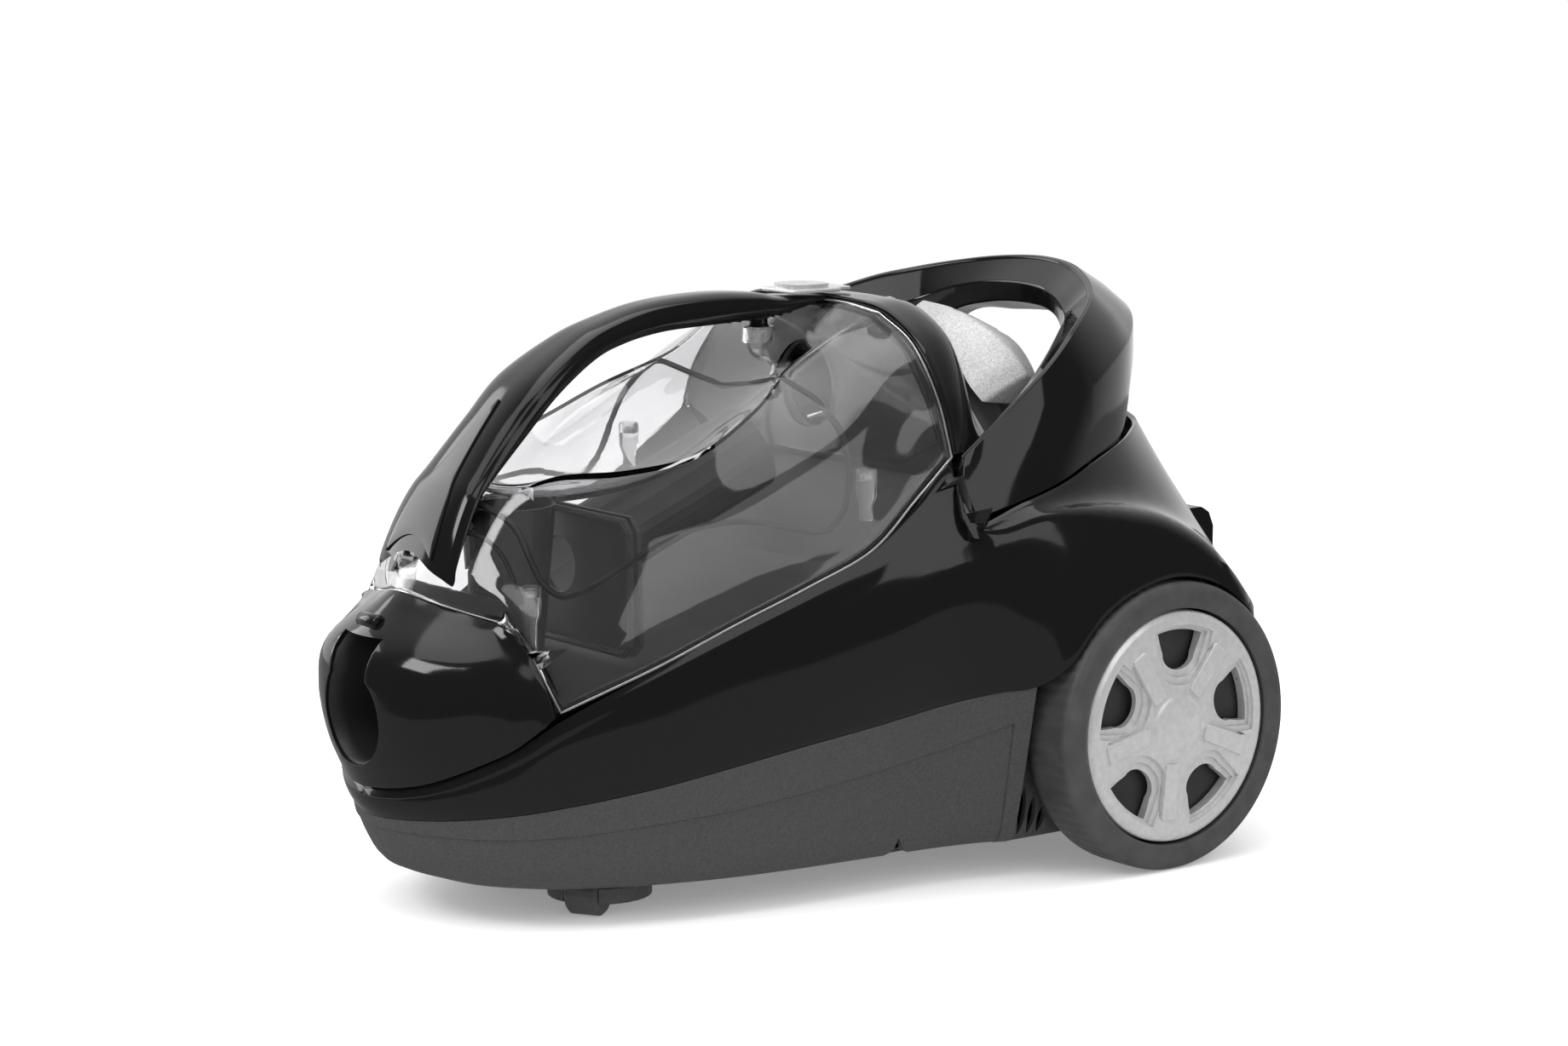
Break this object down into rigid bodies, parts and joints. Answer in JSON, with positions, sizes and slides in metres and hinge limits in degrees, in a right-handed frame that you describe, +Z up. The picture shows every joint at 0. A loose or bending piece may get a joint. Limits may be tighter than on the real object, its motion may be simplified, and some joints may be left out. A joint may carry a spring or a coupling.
{
  "type": "canister vacuum cleaner",
  "caption": "Low two-wheeled canister vacuum cleaner with a clear lift-off dust bin, carrying handle, rear hoop, foot pedals and swivelling front casters.",
  "frame": {"origin": "on the floor at the centre of the footprint's bounding box", "axes": "+Z up, -Y towards the hose inlet at the nose, +Y towards the driving wheels, +X across the machine"},
  "size_m": [0.29, 0.4705, 0.276],
  "materials": {
    "gloss_black": "high-gloss black",
    "matte_grey": "fine leather-grain charcoal",
    "silver": "satin silver paint on plastic",
    "smoke_clear": "clear smoked plastic",
    "tyre_rubber": "ribbed dark grey rubber",
    "seal_rubber": "smooth black rubber",
    "steel": "plain steel",
    "copper": "varnished windings",
    "foam": "open foam or mesh",
    "white_filter": "pleated paper",
    "inner_grey": "plain moulded inner plastic",
    "board_green": "solder-masked board"
  },
  "bodies": {
    "chassis": {"axle_left": "steel", "axle_right": "steel", "bin_cradle": "inner_grey", "bulkhead": "inner_grey", "caster_cup_left": "matte_grey", "caster_cup_right": "matte_grey", "control_board": "board_green", "cord_outlet": "seal_rubber", "exhaust_filter": "white_filter", "exhaust_grille": "gloss_black", "fan_shroud": "inner_grey", "inlet_seal": "seal_rubber", "inlet_socket": "inner_grey", "lower_shell": "matte_grey", "motor_housing": "inner_grey", "motor_mount_front": "seal_rubber", "motor_mount_rear": "seal_rubber", "nose_cover": "gloss_black", "power_spring": "steel", "power_switch": "inner_grey", "premotor_filter": "foam", "rear_bearing": "steel", "rear_dome": "gloss_black", "rear_hoop": "gloss_black", "reel_axle": "steel", "reel_bracket": "steel", "rewind_spring": "steel", "rewind_spring_case": "inner_grey", "stator": "copper", "upper_shell": "gloss_black"},
    "bin": {"bin_cover": "smoke_clear", "bin_tray": "inner_grey", "bin_inlet_panel": "inner_grey", "bin_rear_panel": "smoke_clear", "cyclone_cone": "inner_grey", "mesh_filter": "foam", "separator_plate": "inner_grey", "bin_seal": "seal_rubber", "handle_post": "gloss_black", "carry_handle": "gloss_black"},
    "latch": {"latch_button": "silver"},
    "power_pedal": {"power_pedal": "silver"},
    "rewind_pedal": {"rewind_pedal": "silver", "brake_lever": "inner_grey"},
    "wheel_left": {"tyre_left": "tyre_rubber", "wheel_disc_left": "matte_grey", "hubcap_left": "silver"},
    "wheel_right": {"tyre_right": "tyre_rubber", "wheel_disc_right": "matte_grey", "hubcap_right": "silver"},
    "caster_left": {"caster_fork_left": "matte_grey", "caster_pin_left": "steel"},
    "caster_right": {"caster_fork_right": "matte_grey", "caster_pin_right": "steel"},
    "roller_left": {"caster_roller_left": "tyre_rubber"},
    "roller_right": {"caster_roller_right": "tyre_rubber"},
    "fan_rotor": {"armature": "copper", "impeller": "steel", "motor_shaft": "steel"},
    "cord_reel": {"reel_drum": "matte_grey"}
  },
  "joints": [
    {"name": "bin_lift", "type": "slide", "parent": "chassis", "child": "bin", "axis": [0, 0, 1], "range_m": [0, 0.12]},
    {"name": "latch_slide", "type": "slide", "parent": "bin", "child": "latch", "axis": [0, -1, 0], "range_m": [0, 0.004], "stiffness_N_per_m": 400, "springref_m": -0.002},
    {"name": "power_press", "type": "slide", "parent": "chassis", "child": "power_pedal", "axis": [0, 0, -1], "range_m": [0, 0.004], "stiffness_N_per_m": 600, "springref_m": -0.004, "deforming": ["power_spring"]},
    {"name": "rewind_press", "type": "slide", "parent": "chassis", "child": "rewind_pedal", "axis": [0, 0, -1], "range_m": [0, 0.004], "stiffness_N_per_m": 600, "springref_m": -0.004, "deforming": ["rewind_spring"]},
    {"name": "wheel_left_spin", "type": "hinge", "parent": "chassis", "child": "wheel_left", "pos_m": [0.129, 0.1225, 0.068], "axis": [1, 0, 0], "continuous": true},
    {"name": "wheel_right_spin", "type": "hinge", "parent": "chassis", "child": "wheel_right", "pos_m": [-0.129, 0.1225, 0.068], "axis": [1, 0, 0], "continuous": true},
    {"name": "caster_left_swivel", "type": "hinge", "parent": "chassis", "child": "caster_left", "pos_m": [0.0395, -0.1303, 0.0105], "axis": [0, 0, 1], "continuous": true},
    {"name": "caster_right_swivel", "type": "hinge", "parent": "chassis", "child": "caster_right", "pos_m": [-0.0395, -0.1303, 0.0105], "axis": [0, 0, 1], "continuous": true},
    {"name": "roller_left_spin", "type": "hinge", "parent": "caster_left", "child": "roller_left", "pos_m": [0.04705, -0.14149, 0.0105], "axis": [0.829, 0.5592, 0], "continuous": true},
    {"name": "roller_right_spin", "type": "hinge", "parent": "caster_right", "child": "roller_right", "pos_m": [-0.03195, -0.14149, 0.0105], "axis": [0.829, 0.5592, 0], "continuous": true},
    {"name": "fan_spin", "type": "hinge", "parent": "chassis", "child": "fan_rotor", "pos_m": [0.044, 0.1, 0.083], "axis": [0, 1, 0], "continuous": true},
    {"name": "reel_spin", "type": "hinge", "parent": "chassis", "child": "cord_reel", "pos_m": [-0.052, 0.112, 0.094], "axis": [1, 0, 0], "continuous": true}
  ]
}
